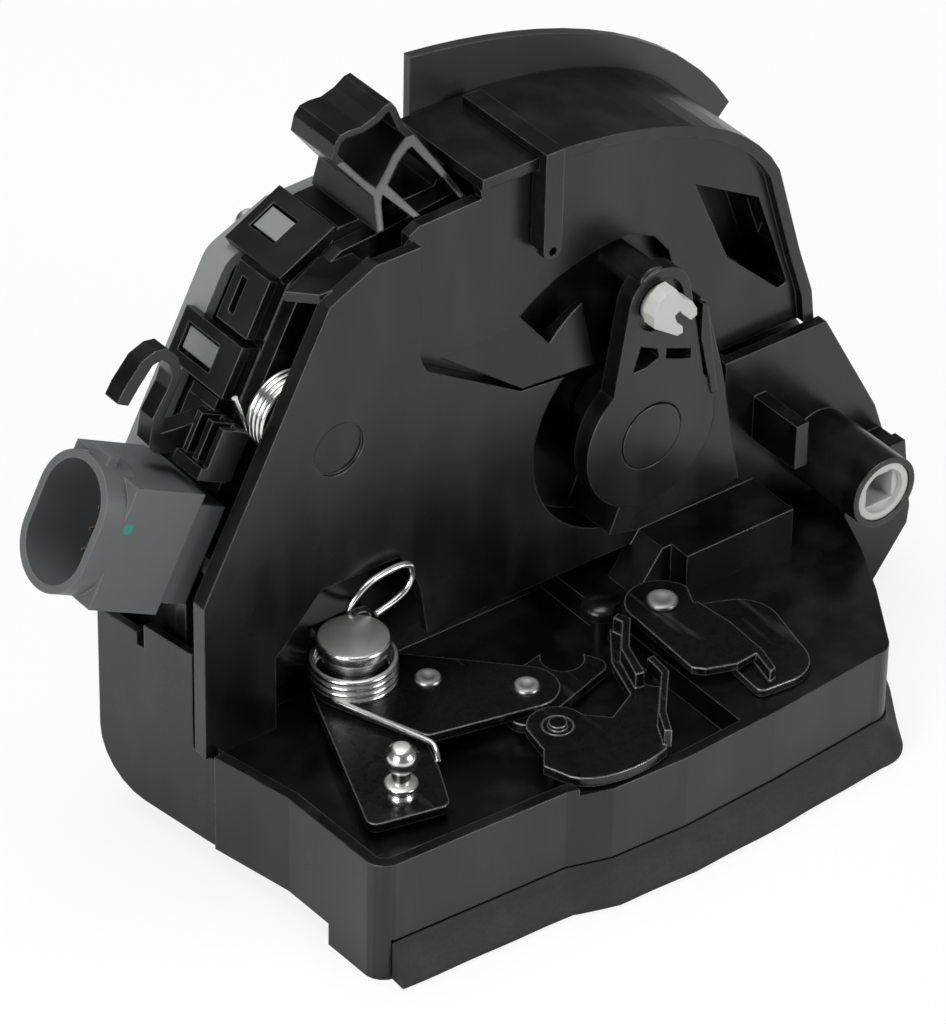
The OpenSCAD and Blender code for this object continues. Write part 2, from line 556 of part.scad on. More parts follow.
fix_pts = [[24, 23], [44, -22], [-46, -20]];
face_pts = [[-53, -22], [-46, -30], [-30, -33.5], [46, -36], [55, -30], [58, 6], [50, 33], [-50, 33], [-54, 24]];
module face_plate() color(steel) difference() {
  union() {
    along_z(0, face_t) polygon(face_pts);
    for (p = fix_pts) bar_z(p[0], p[1], fix_r + 2.5, 0, fix_l);
  }
  along_z(-1, face_t + 1) mouth_shape();
  for (p = fix_pts) bar_z(p[0], p[1], fix_r, -1, fix_l + 1);
  bar_z(claw_c[0], claw_c[1], claw_pin_r - 1, -1, face_t + 1);
  bar_z(pawl_c[0], pawl_c[1], pawl_shaft_r + run, -1, face_t + 1);
}
module back_plate() color(steel) difference() {
  union() {
    along_z(plate_z, plate_z + plate_t) polygon([[-50, -16], [-44, -24], [-16, -34], [38, -34], [50, -28], [51, -15], [42, -8], [40, 30], [-48, 30]]);
    // feet down to the face plate
    for (p = [[-46, 26], [34, 14], [24, -28]]) block([p[0] - 3, p[1] - 3, face_t], [p[0] + 3, p[1] + 3, plate_z + 1]);
  }
  along_z(plate_z - 1, plate_z + plate_t + 1) mouth_shape(0.6);
  bar_z(claw_c[0], claw_c[1], claw_pin_r - 1, plate_z - 1, plate_z + plate_t + 1);
  bar_z(pawl_c[0], pawl_c[1], pawl_shaft_r + run, plate_z - 1, plate_z + plate_t + 1);
}
module claw_pin() color(steel) {
  bar_z(claw_c[0], claw_c[1], claw_pin_r - 1, 0.2, plate_z + plate_t + 5);
  bar_z(claw_c[0], claw_c[1], claw_pin_r, face_t, plate_z);
}

// The claw is drawn in its latched place, with the slot towards the mouth, and turned to open
module claw_shape(r_back, r_prong, slot_w) difference() {
  union() {
    circle(r = r_back);
    intersection() {
      circle(r = r_prong);
      polygon([[0, 0], [40, -30], [40, 36], [0, 0]]);
    }
  }
  hull() {
    translate([claw_x, 0]) circle(d = slot_w, $fn = 32);
    translate([claw_x + 20, 0]) circle(d = slot_w, $fn = 32);
  }
  // locking step for the pawl
  rotate(238) translate([r_back, 3]) square([5, 6], center = true);
}
module claw() color(steel) translate([claw_c[0], claw_c[1], latch_z]) rotate(open_a) difference() {
  linear_extrude(claw_t - 1.2) claw_shape(claw_r - 1, prong_r - 1.2, 14.4);
  translate([0, 0, -1]) cylinder(r = claw_pin_r + run, h = claw_t + 2);
}
module claw_cover() color("#2b2b2e") translate([claw_c[0], claw_c[1], latch_z]) rotate(open_a) difference() {
  linear_extrude(claw_t) claw_shape(claw_r, prong_r, 12);
  translate([0, 0, -1]) linear_extrude(claw_t - 0.2) claw_shape(claw_r - 1, prong_r - 1.2, 14.4);
  translate([0, 0, -1]) cylinder(r = claw_pin_r + 1.5, h = claw_t + 2);
}
pawl_reach = sqrt(pow(norm(pawl_c - claw_c), 2) - pow(claw_r, 2));
pawl_dir = atan2(claw_c[1] - pawl_c[1], claw_c[0] - pawl_c[0]) + asin(claw_r / norm(pawl_c - claw_c));
module pawl() color(steel) translate([pawl_c[0], pawl_c[1], latch_z]) rotate(pawl_dir) difference() {
  union() {
    cylinder(r = 6, h = claw_t);
    translate([0, pass, 0]) linear_extrude(claw_t) polygon([[0, -5.8], [0, 5.6], [10, 4.8], [pawl_reach + 1.5, 4.2], [pawl_reach + 2.5, 0], [10, 0], [4, -5]]);
  }
  translate([0, 0, -1]) cylinder(r = pawl_shaft_r, h = claw_t + 2);
}
module pawl_shaft() color(coated) {
  bar_z(pawl_c[0], pawl_c[1], pawl_shaft_r, 0.4, release_z + sheet_t);
  bar_z(pawl_c[0], pawl_c[1], pawl_shaft_r - 1.2, release_z + sheet_t - 0.5, release_z + sheet_t + 0.9);
}
// Release lever over the front rim, with its two upright flanges
module release_lever() color(coated) {
  c = pawl_c;
  difference() {
    along_z(release_z, release_z + sheet_t) polygon(concat([[-14.4, -29]], [[-17.4, -33], [-15.4, -38.4]],
      curve([[-15.4, -38.4], [-13, -43], [-3, -44.6], [4.6, -42.2]], 8), [[8.4, -36], [16, -27.6], [13.4, -25.2], [15.6, -17.4], [21.2, -9.6],
      [18.6, -7.2], [12.4, -15.6], [9.2, -25.4], [2, -29]], arc(c, 6, 0, 150, 8)));
    bar_z(c[0], c[1], pawl_shaft_r, release_z - 1, release_z + sheet_t + 1);
  }
  along_z(release_z + sheet_t - 0.5, 31.4) polygon([[4.6, -41.2], [5.8, -42], [8.6, -36.8], [16.8, -27.4], [17.4, -22], [15.9, -22], [15.4, -26.8], [7.2, -36.2]]);
  along_z(release_z + sheet_t - 0.5, 31.4) polygon([[11, -24.6], [12.8, -25], [15.4, -17.2], [21.2, -10.2], [20.2, -7.6], [18.6, -8.2], [19.2, -10.2], [13.8, -16.6]]);
}
// A wire's ring of points round p, square to direction d
function ring_at(p, d, r, n = 6) = let (a = abs(d[2]) > 0.9 ? [1, 0, 0] : [0, 0, 1], e = unit(cross(d, a)), f = cross(d, e))
  [for (i = [0:n - 1]) p + r * (cos(360 * i / n) * e + sin(360 * i / n) * f)];
// A wire along a list of points
module wire(path, r, n = 6) {
  m = len(path);
  dirs = [for (i = [0:m - 1]) unit(path[min(i + 1, m - 1)] - path[max(i - 1, 0)])];
  polyhedron(points = [for (i = [0:m - 1]) each ring_at(path[i], dirs[i], r, n)],
    faces = concat([[for (i = [0:n - 1]) i]],
      [for (j = [0:m - 2], i = [0:n - 1]) [j * n + i, (j + 1) * n + i, (j + 1) * n + (i + 1) % n, j * n + (i + 1) % n]],
      [[for (i = [n - 1:-1:0]) (m - 1) * n + i]]));
}
// Turns of a coil round the Z axis
function turns(r, a0, count, pitch, z0, step = 20) =
  [for (i = [0:round(count * 360 / step)]) let (a = a0 + i * step) [r * cos(a), r * sin(a), z0 + pitch * i * step / 360]];

coil_z = release_z - 1.6;
module lever_spring() color(steel) translate([post[0], post[1], 0]) {
  loop = [[3.6, 7.1, coil_z + 7.4], [5.5, 5.9, coil_z + 8.1], [6.8, 4.2, coil_z + 8.8], [6.8, 4.2, coil_z + 11], [5.4, 3.8, coil_z + 12.4], [2.4, 3.4, coil_z + 13.2], [-1.2, -1, coil_z + 16],
    [-4.6, -5.4, coil_z + 20.4], [-6.2, -6.4, coil_z + 23.6], [-2.2, -6.4, coil_z + 27.4], [2.4, -6.4, coil_z + 28.4], [7, -6.4, coil_z + 28.4],
    [8.8, -6.4, coil_z + 27.2], [9, -6.4, coil_z + 24.6], [7.6, -6.4, coil_z + 22.2], [4.6, -6.4, coil_z + 20.6], [0.4, -6.4, coil_z + 19.6]];
  wire(concat([[-0.7, -29.6, coil_z - 1.2], [-1.1, -27.8, coil_z + 0.4]], turns(coil_r, 196, 3.7, coil_wire + 0.15, coil_z + 0.9), loop), coil_wire / 2);
}
module return_spring() color(steel) translate([spring_c[0], joint_y - 4.8, spring_c[1]]) rotate([90, 0, 0])
  wire(concat([[-9.6, 5.4, -0.5], [-8.4, 1.6, -0.2]], turns(7.6, 184, 4, 1.25, 0), [[-4, -12, 5.2], [-1, -16, 5]]), 0.6);
module claw_spring() color(steel) translate([claw_c[0], claw_c[1], plate_z + plate_t + 1])
  wire(concat([[-14, -7, 0.6], [-5.5, -5, 0.4]], turns(4.6, 250, 2.6, 1.3, 0.2), [[10, 6, 3.6]]), 0.5);
module pawl_spring() color(steel) translate([pawl_c[0], pawl_c[1], plate_z + plate_t + 1])
  wire(concat([[-12, -4, 0.6], [-4.5, -4, 0.4]], turns(4.4, 235, 2.6, 1.3, 0.2), [[14, 2, 3.6]]), 0.5);

module seal_strip() color("#161618") {
  layers = [[0.4, 2.4, 4.2], [2.4, 4, 3.4], [4, 5.8, 2.4], [5.8, 7.6, 1.3], [7.6, 9, 0.6]];
  for (l = layers) along_z(l[0], l[1]) difference() {
    polygon(grown(tray_pts, l[2]));
    polygon(grown(tray_pts, 0.02));
    translate([-120, -26]) square([60.4, 80]);
    translate([-120, -12]) square([300, 80]);
    translate([-120, -80]) square([62.2, 54]);
  }
}

module lever_post() color(steel) translate([post[0], post[1], 0]) {
  translate([0, 0, under_z - 1]) cylinder(r = post_r - 1, h = floor_z - under_z + 2);
  translate([0, 0, floor_z]) cylinder(r = post_r, h = post_z - 2.6 - floor_z);
  translate([0, 0, post_z - 5.6]) cylinder(r = head_r - 1.1, h = 3.2);
  translate([0, 0, post_z - 2.6]) cylinder(r = head_r, h = 2.2);
  translate([0, 0, post_z - 0.41]) cylinder(r1 = head_r, r2 = head_r - 0.4, h = 0.41);
}
module inside_lever() color(coated) difference() {
  along_z(inside_z, inside_z + sheet_t) hull() {
    translate(post) circle(r = eye_r, $fn = 32);
    translate([-48.2, -22.4]) circle(r = 2, $fn = 32);
    translate([-35.9, -25.2]) circle(r = 2, $fn = 32);
    translate([-31.6, -16.4]) circle(r = 2, $fn = 32);
  }
  bar_z(post[0], post[1], post_r + run, inside_z - 1, inside_z + sheet_t + 1);
  bar_z(ball_c[0], ball_c[1], 2, inside_z - 1, inside_z + sheet_t + 1);
}
ball_c = [-40.4, -19.6];
module ball_stud() color(steel) translate([ball_c[0], ball_c[1], 0]) {
  translate([0, 0, inside_z - 0.5]) cylinder(r = 2, h = sheet_t + 0.5);
  translate([0, 0, inside_z + sheet_t]) cylinder(r1 = 3, r2 = 2.3, h = 1);
  translate([0, 0, inside_z + sheet_t + 1]) cylinder(r = 2.4, h = 1);
  translate([0, 0, inside_z + sheet_t + 2]) cylinder(r = 3.3, h = 1.1);
  translate([0, 0, inside_z + sheet_t + 3]) cylinder(r = 1.8, h = 3.4);
  translate([0, 0, inside_z + sheet_t + 5.2 + ball_d / 2]) sphere(d = ball_d);
}
rivet_pts = [[-17, 3.2], [-3.4, -9.8]];
module transfer_lever() color(coated) difference() {
  along_z(transfer_z, transfer_z + sheet_t) hull() {
    translate(post) circle(r = eye_r, $fn = 32);
    translate(rivet_pts[1]) circle(r = 6.4, $fn = 32);
    translate([-26.4, -9.4]) circle(r = 1.6, $fn = 32);
  }
  bar_z(post[0], post[1], post_r + run, transfer_z - 1, transfer_z + sheet_t + 1);
  for (p = rivet_pts) bar_z(p[0], p[1], 1.8, transfer_z - 1, transfer_z + sheet_t + 1);
}
module hook_plate() color(coated) difference() {
  along_z(hook_z, hook_z + sheet_t) {
    hull() {
      translate(rivet_pts[1] + [-3, -4]) circle(r = 4, $fn = 32);
      translate(rivet_pts[1] + [1, 2]) circle(r = 5, $fn = 32);
      translate([12.6, -9.8]) circle(r = 2.6, $fn = 32);
      translate([9, -3.6]) circle(r = 3, $fn = 32);
    }
  }
  bar_z(9.4, -4.4, 4.2, hook_z - 1, hook_z + sheet_t + 1);
  bar_z(rivet_pts[1][0], rivet_pts[1][1], 1.8, hook_z - 1, hook_z + sheet_t + 1);
}
module lever_rivets() color(steel) for (p = rivet_pts) {
  bar_z(p[0], p[1], 1.8, p == rivet_pts[0] ? transfer_z - 0.4 : hook_z - 0.4, transfer_z + sheet_t);
  bar_z(p[0], p[1], 2.7, transfer_z + sheet_t, transfer_z + sheet_t + 0.8);
}
module outside_lever() color(coated) {
  top_z = outside_z + step_up;
  low = outside_z;
  difference() {
    union() {
      along_z(low, low + 1.6) hull() {
        translate([31.6, -37.4]) circle(r = 1.6, $fn = 32);
        translate([38, -32]) circle(r = 7.6, $fn = 32);
        translate([40.6, -20]) circle(r = 7.8, $fn = 32);
        translate([36.6, -12]) circle(r = 2, $fn = 32);
      }
      along_z(top_z, top_z + 1.6) polygon(concat([[22.2, -27.6], [24, -29.6], [30, -31.8], [35, -31.4], [36.6, -21], [35.4, -12]],
        arc(outside_c, 7.3, 10, 190, 12)));
      // joggle between the two levels
      along_z(low, top_z + 1.6) polygon([[33.4, -37.4], [35, -37], [36.6, -31.4], [37.2, -21], [36.2, -12], [34.6, -12], [35.6, -21], [34.9, -31.2]]);
    }
    bar_z(outside_c[0], outside_c[1], outside_pin_r + run, low - 1, top_z + 3);
  }
}
outside_pin_r = 2.5;
module outside_rivet() color(steel) {
  bar_z(outside_c[0], outside_c[1], outside_pin_r - 0.4, under_z + 0.4, deck_z + 0.2);
  bar_z(outside_c[0], outside_c[1], outside_pin_r, deck_z, outside_z + step_up + 1.9);
  bar_z(outside_c[0], outside_c[1], outside_pin_r + 0.7, outside_z + step_up + 1.9, outside_z + step_up + 2.9);
}
button_r = 3.9;
module guide_button() color("#2e2e31") {
  bar_z(button_c[0], button_c[1], 2, under_z + 0.4, deck_z + 0.2);
  bar_z(button_c[0], button_c[1], button_r, deck_z, deck_z + 1.4);
  translate([button_c[0], button_c[1], deck_z + 1.4]) rotate_extrude()
    polygon(concat([[0, 0]], [for (a = [0:10:90]) [button_r * cos(a), 1.9 * sin(a)]]));
}

module lock_lever() color("#222225") difference() {
  union() {
    along_y(lever_y, lever_y + lever_t) lever_shape();
    bar_y(boss_c[0], boss_c[1], boss_r, lever_y + 0.4, joint_y - 7.2);
    bar_y(lever_c[0], lever_c[1], 8, lever_y + 1, joint_y - 6.4);
    // ridge along the arm's right side
    along_y(lever_y - 0.5, lever_y + 1) polygon([[45.4, 88], [46.6, 87.4], [50, 66], [48.6, 66], [45.4, 80]]);
  }
  bar_y(lever_c[0], lever_c[1], 4 + run, lever_y - 1, joint_y);
  bar_y(lever_c[0], lever_c[1], 7.2, lever_y - 1, lever_y + 1.2);
  along_y(lever_y - 1, lever_y + lever_t + 0.01) {
    polygon([[29.2, 78.2], [30.9, 83.6], [35, 81.6], [35.6, 79.4], [32.4, 78.2]]);
    polygon([[37.1, 78.4], [37.2, 80.8], [43.4, 78.3], [43.4, 76]]);
    translate(clip_c) circle(r = 2.5 + run);
  }
  // pocket for the rod clip
  along_y(lever_y - 1, lever_y + 1.2) translate(clip_c) circle(r = 5.6);
}
module lock_pivot() color("#222225") {
  bar_y(lever_c[0], lever_c[1], 6.9, lever_y - 0.2, lever_y + 1);
  bar_y(lever_c[0], lever_c[1], 4, lever_y + 0.8, joint_y - 4);
}
module rod_clip() color("#f2f2ef") {
  bar_y(clip_c[0], clip_c[1], 4, lever_y - 1.2, lever_y + 1);
  bar_y(clip_c[0], clip_c[1], 2.5, lever_y, lever_y + lever_t + 0.2);
  // round back of the clip and its two jaws, with the mouth for the rod between them
  along_y(lever_y - 4.2, lever_y - 1) translate(clip_c) polygon([[-4.6, -1.4], [-4.9, 1.2], [-3.6, 4.1], [-1.8, 5.6],
    [0.1, 5.8], [2, 3], [4.2, 1.5], [5.5, -0.6], [5.6, -2.2], [4.2, -2.8], [2.4, -1], [1.4, 0.3], [0.2, -0.3],
    [0.7, -1.9], [2.3, -3.6], [2.3, -5], [0.9, -5.1], [-1.3, -3.6]]);
}
module cylinder_spindle() color("#efefea") difference() {
  union() {
    bar_y(tube_c[0], tube_c[1], spindle_r + 0.5, -tube_front + 0.4, 0);
    bar_y(tube_c[0], tube_c[1], spindle_r, -0.5, joint_y - 1.6);
    bar_y(tube_c[0], tube_c[1], 3.6, joint_y - 1.7, joint_y + 0.6);
  }
  translate([tube_c[0], -tube_front + 5.4, tube_c[1]]) cube([square_w, 13, square_w], center = true);
  bar_y(tube_c[0], tube_c[1], spindle_r - 1, -tube_front - 1, -tube_front + 1.6);
}

// Drive: the motor turns a worm, the worm turns the wheel that moves the lock lever
worm_y = 31;
worm_z = 62;
worm_tip = 3.9;
tooth_h = 1.7;
wheel_r = wheel_teeth * wheel_pitch / 2 / PI;
wheel_c = [-5, worm_z + worm_tip + wheel_r - tooth_h + 0.3];
motor_x0 = -46;
motor_l = 25;
worm_x0 = -13;
worm_x1 = 3.4;
module drive_motor() color(steel) {
  translate([motor_x0, worm_y, worm_z]) rotate([0, 90, 0]) cylinder(r = motor_r, h = motor_l);
  translate([motor_x0 - 1.4, worm_y, worm_z]) rotate([0, 90, 0]) cylinder(r = 3, h = 2);
}
module worm() color("#d9d5c8") translate([0, worm_y, worm_z]) rotate([0, 90, 0]) {
  translate([0, 0, motor_x0 + motor_l + 0.3]) cylinder(r = 1.2, h = worm_x0 - motor_x0 - motor_l);
  translate([0, 0, worm_x1 - 0.2]) cylinder(r = 1.2, h = 3);
  translate([0, 0, worm_x0]) rotate(360 * (worm_x0 - wheel_c[0]) / wheel_pitch)
    linear_extrude(worm_x1 - worm_x0, twist = -360 * (worm_x1 - worm_x0) / wheel_pitch, slices = 60, $fn = 12)
    polygon(concat(arc([0, 0], worm_tip, -36, 36, 3), arc([0, 0], worm_tip - tooth_h, 62, 298, 7)));
}
module worm_wheel() color("#e8e4d4") difference() {
  union() {
    bar_y(wheel_c[0], wheel_c[1], wheel_r - tooth_h, worm_y - 2.5, worm_y + 2.5);
    bar_y(wheel_c[0], wheel_c[1], 4.6, joint_y + 3.3, worm_y + 3.4);
    along_y(worm_y - 2, worm_y + 2) for (i = [0:wheel_teeth - 1]) translate(wheel_c) rotate(i * 360 / wheel_teeth + 90)
      polygon([[wheel_r - tooth_h - 0.6, -0.75], [wheel_r, -0.35], [wheel_r, 0.35], [wheel_r - tooth_h - 0.6, 0.75]]);
    // dog that pushes the lock lever's arm
    along_y(worm_y - 5.4, worm_y - 2) polygon([for (a = [0:30:330]) wheel_c + [9, 0] + 2 * [cos(a), sin(a)]]);
  }
  bar_y(wheel_c[0], wheel_c[1], 2.5 + run, joint_y, worm_y + 5);
}
module wheel_pin() color(steel) bar_y(wheel_c[0], wheel_c[1], 2.5, joint_y - 0.4, back_y + 0.6);

main_housing();
latch_housing();
upper_cover();
rear_housing();
left_cover();
electronics_cover();
connector_socket();
connector_pins();
circuit_board();
microswitches();
top_shield();
strap_clip();
guide_bracket();
cable_hook();
face_plate();
back_plate();
claw_pin();
claw_spring();
pawl_spring();
seal_strip();
lever_post();
lever_spring();
outside_rivet();
guide_button();
lock_pivot();
return_spring();
drive_motor();
wheel_pin();
cover_screws();
claw();
claw_cover();
pawl();
pawl_shaft();
release_lever();
inside_lever();
ball_stud();
transfer_lever();
hook_plate();
lever_rivets();
outside_lever();
lock_lever();
rod_clip();
cylinder_spindle();
worm();
worm_wheel();
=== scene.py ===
# %% [markdown]
# A car door lock, dressed in Blender.
# The lock is a latch in a folded black moulding: a tray that lies on the door's edge, and an upright
# housing behind it that holds the electric drive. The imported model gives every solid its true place,
# so this lesson spends its time on what the solids lack: the finish of each material, the round wire
# of the springs, turned rivets, the rubber lip, screws, pins and printed board.
# Everything is in metres, and the helper mm() lets the text speak in millimetres.

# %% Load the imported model
import json
import math
import bmesh
import bpy
from mathutils import Matrix, Vector

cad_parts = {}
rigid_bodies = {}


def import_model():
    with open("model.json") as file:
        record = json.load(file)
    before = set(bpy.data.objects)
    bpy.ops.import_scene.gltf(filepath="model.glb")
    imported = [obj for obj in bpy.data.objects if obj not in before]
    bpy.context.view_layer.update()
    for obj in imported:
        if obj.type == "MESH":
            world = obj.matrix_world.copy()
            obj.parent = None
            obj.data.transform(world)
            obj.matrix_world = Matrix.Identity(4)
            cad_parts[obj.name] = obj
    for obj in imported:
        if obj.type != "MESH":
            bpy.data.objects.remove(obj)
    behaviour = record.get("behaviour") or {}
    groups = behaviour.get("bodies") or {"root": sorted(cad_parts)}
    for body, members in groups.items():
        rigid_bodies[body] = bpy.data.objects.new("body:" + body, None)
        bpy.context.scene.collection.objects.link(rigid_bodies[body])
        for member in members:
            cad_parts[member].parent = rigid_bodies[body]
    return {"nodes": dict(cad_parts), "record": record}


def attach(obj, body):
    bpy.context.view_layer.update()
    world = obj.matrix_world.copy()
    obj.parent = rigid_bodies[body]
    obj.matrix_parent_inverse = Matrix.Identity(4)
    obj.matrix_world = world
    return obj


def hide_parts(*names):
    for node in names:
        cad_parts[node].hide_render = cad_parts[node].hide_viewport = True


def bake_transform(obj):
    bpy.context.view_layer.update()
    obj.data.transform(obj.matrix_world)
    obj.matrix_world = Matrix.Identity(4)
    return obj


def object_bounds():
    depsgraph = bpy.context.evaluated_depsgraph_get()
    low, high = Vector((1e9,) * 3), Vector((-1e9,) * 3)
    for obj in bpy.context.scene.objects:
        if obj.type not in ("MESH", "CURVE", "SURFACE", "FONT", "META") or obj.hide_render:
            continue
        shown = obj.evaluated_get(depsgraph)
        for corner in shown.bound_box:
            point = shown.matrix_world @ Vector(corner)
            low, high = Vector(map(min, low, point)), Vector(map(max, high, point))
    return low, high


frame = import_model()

cad_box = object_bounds()


def mm(*values):
    """Millimetres to metres: a number from one value, a vector from three."""
    return values[0] / 1000 if len(values) == 1 else Vector(values) / 1000


def add(name, data):
    """A new object with this data, in the scene."""
    made = bpy.data.objects.new(name, data)
    bpy.context.scene.collection.objects.link(made)
    return made


print("box of the solids in metres:", cad_box)

# %% [markdown]
# The camera. A long lens from the lever side, at the left and well above, as a catalogue picture has.
# Its place was worked out from the lock's own corners, so the render can be laid over the photograph.
# The three axes below are the camera's right, its up and the way back to it, with a slight roll in them.

# %% Camera
azimuth, elevation, roll = math.radians(-38), math.radians(36), math.radians(1.2)
camera_place = mm(-566.079, -712.361, 720.301)
sensor = 36  # millimetres, along the picture's longer side
picture_side, focal_pixels = 1024, 6000
level_right = Vector((math.cos(azimuth), math.sin(azimuth), 0))
to_camera = Vector((math.sin(azimuth) * math.cos(elevation), -math.cos(azimuth) * math.cos(elevation),
                    math.sin(elevation)))
level_up = to_camera.cross(level_right)
cam_right = math.cos(roll) * level_right + math.sin(roll) * level_up
cam_up = math.cos(roll) * level_up - math.sin(roll) * level_right
camera = add("camera", bpy.data.cameras.new("camera"))
camera.data.sensor_width = sensor
camera.data.lens = focal_pixels / picture_side * sensor
camera.data.clip_start, camera.data.clip_end = 0.05, 20
turned_camera = Matrix((cam_right, cam_up, to_camera)).transposed().to_4x4()
camera.matrix_world = Matrix.Translation(camera_place) @ turned_camera
bpy.context.scene.camera = camera
bpy.context.scene.view_settings.view_transform = "Standard"
print("camera at", tuple(round(v, 3) for v in camera_place), "with a lens of", round(camera.data.lens), "mm")

# %% [markdown]
# Shader sums. A material is easier to read as a sum than as a drawing of boxes and lines.
# Socket wraps an output of a node and answers + - * by adding the Math node that does it. Recipe holds
# one material, or the world, and its node() adds any other node: settings first, then inputs.

# %% Sockets that can be added and multiplied
class Socket:
    """An output of a shader node that can be used in sums."""

    def __init__(self, recipe, out):
        self.recipe, self.out = recipe, out

    def sum(self, operation, first, second):
        """Output of a Math node on two sockets or numbers."""
        return self.recipe.node("ShaderNodeMath", {"operation": operation}, {0: first, 1: second})

    def __add__(self, other): return self.sum("ADD", self, other)
    def __radd__(self, other): return self.sum("ADD", other, self)
    def __sub__(self, other): return self.sum("SUBTRACT", self, other)
    def __rsub__(self, other): return self.sum("SUBTRACT", other, self)
    def __mul__(self, other): return self.sum("MULTIPLY", self, other)
    def __rmul__(self, other): return self.sum("MULTIPLY", other, self)

    def between(self, low, high, to_low=0.0, to_high=1.0):
        """Stretches the values low to high over to_low to to_high, and holds them there."""
        return self.recipe.node("ShaderNodeMapRange", {}, {0: self, 1: low, 2: high, 3: to_low, 4: to_high})


class Recipe:
    """One material or world and the nodes in it."""

    def __init__(self, name, kinds=bpy.data.materials):
        self.owner = kinds.new(name)
        self.owner.use_nodes = True
        self.tree = self.owner.node_tree
        self.tree.nodes.clear()
        self.place = self.node("ShaderNodeTexCoord", {}, {}, "Object")

    def node(self, kind, settings, inputs, output=0):
        """A new node with its settings and inputs; gives back one of its outputs."""
        made = self.tree.nodes.new(kind)
        for key, value in settings.items():
            setattr(made, key, value)
        for key, value in inputs.items():
            if isinstance(value, Socket):
                self.tree.links.new(value.out, made.inputs[key])
            elif made.inputs[key].type == "RGBA" and len(value) == 3:
                made.inputs[key].default_value = (*value, 1)
            else:
                made.inputs[key].default_value = value
        return Socket(self, made.outputs[output])

    def noise(self, size, detail, stretch=None):
        """Soft noise whose blotches are about size millimetres wide."""
        at = self.place
        if stretch:
            at = self.node("ShaderNodeMapping", {}, {"Vector": at, "Scale": stretch})
        return self.node("ShaderNodeTexNoise", {}, {"Vector": at, "Scale": 1000 / size, "Detail": detail})

    def mix(self, mask, low, high):
        """Colour that goes from low to high with the mask."""
        return self.node("ShaderNodeMix", {"data_type": "RGBA"}, {0: mask, 6: low, 7: high}, 2)

    def rounded(self, radius):
        """Normal with the edges rounded to a radius in millimetres, and a mask of those edges."""
        soft = self.node("ShaderNodeBevel", {"samples": 6}, {"Radius": mm(radius)})
        flat = self.node("ShaderNodeNewGeometry", {}, {}, "True Normal")
        alike = self.node("ShaderNodeVectorMath", {"operation": "DOT_PRODUCT"}, {0: soft, 1: flat}, "Value")
        return soft, (1 - alike).between(0.01, 0.22)

    def bump(self, height, depth, normal):
        """Bump of a depth in millimetres on top of a normal."""
        return self.node("ShaderNodeBump", {}, {"Height": height, "Distance": mm(depth), "Strength": 1.0,
                                                "Normal": normal})

    def finish(self, **inputs):
        """Closes the recipe with the shader that all finishes here share."""
        words = {key.replace("_", " "): value for key, value in inputs.items()}
        return self.close(self.node("ShaderNodeBsdfPrincipled", {}, words))

    def close(self, shader, end="ShaderNodeOutputMaterial"):
        """Joins a shader to the tree's end and gives back the material or world."""
        out = self.tree.nodes.new(end)
        self.tree.links.new(shader.out, out.inputs["Surface"])
        return self.owner


print("shader sums are ready")

# %% [markdown]
# Moulded plastic. The housing, covers and clips are black glass-filled nylon. Such a moulding shows a
# very fine spark-eroded grain from its tool, broad cloudy patches where the melt cooled unevenly, and
# slightly paler edges: partly rubbed, partly a painted highlight for the light the rounded edges catch.
# The grain is a noise less than half a millimetre wide that only feeds the bump, the clouds change the
# roughness, and the edge mask lifts the colour a little, as wear and as painted highlight.

# %% Moulded plastics
def moulded(name, colour, paler, rough, grain=0.35, edge=0.45, depth=0.008, dot=None):
    """Plastic whose edges are paler, partly rubbed wear and partly a painted highlight; dot is the middle of a
    painted mark in millimetres.
    """
    r = Recipe(name)
    soft, edges = r.rounded(edge)
    clouds = r.noise(38, 4)
    flow = r.noise(9, 3, stretch=(1, 1, 0.3))
    # the paler edge tone is partly rubbed wear and partly a painted highlight where light catches the rounded edges
    rub_wear_and_highlight = edges * r.noise(2.2, 2).between(0.2, 0.55)
    tint = r.mix(rub_wear_and_highlight * 0.75 + flow.between(0.45, 0.8) * 0.12, colour, paler)
    if dot:  # the dab of green paint on the plug socket
        away = r.node("ShaderNodeVectorMath", {"operation": "DISTANCE"}, {0: r.place, 1: mm(*dot)}, "Value")
        ragged = away + r.noise(0.6, 3) * mm(0.5)
        tint = r.mix(ragged.between(mm(1.2), mm(1.5)), (0.01, 0.22, 0.16), tint)
    skin = r.noise(grain, 2) + r.noise(grain * 5, 2) * 0.5
    return r.finish(Base_Color=tint, Roughness=clouds.between(0.25, 0.75, rough - 0.06, rough + 0.07),
                    Normal=r.bump(skin, depth, soft))


finishes = {
    "black_plastic": moulded("black nylon", (0.0018, 0.0018, 0.002), (0.10, 0.10, 0.105), 0.27),
    "black_gloss": moulded("black acetal", (0.0022, 0.0022, 0.0024), (0.10, 0.10, 0.105), 0.24, depth=0.004),
    "grey_plastic": moulded("grey polyamide", (0.20, 0.205, 0.205), (0.28, 0.285, 0.285), 0.42),
    "shield_plastic": moulded("black polypropylene", (0.030, 0.030, 0.031), (0.10, 0.10, 0.105), 0.34),
    "white_plastic": moulded("white acetal", (0.50, 0.50, 0.485), (0.62, 0.62, 0.605), 0.34, depth=0.005),
    "gear_plastic": moulded("natural acetal", (0.60, 0.57, 0.48), (0.72, 0.70, 0.62), 0.38, depth=0.005),
    "switch_plastic": moulded("switch plastic", (0.012, 0.012, 0.014), (0.05, 0.05, 0.054), 0.34, depth=0.005),
    "plug_plastic": moulded("dark grey polyester", (0.092, 0.095, 0.097), (0.16, 0.165, 0.17), 0.40,
                            dot=(-77.5, 14.0, 80.3)),
}
print("plastics:", sorted(finishes))

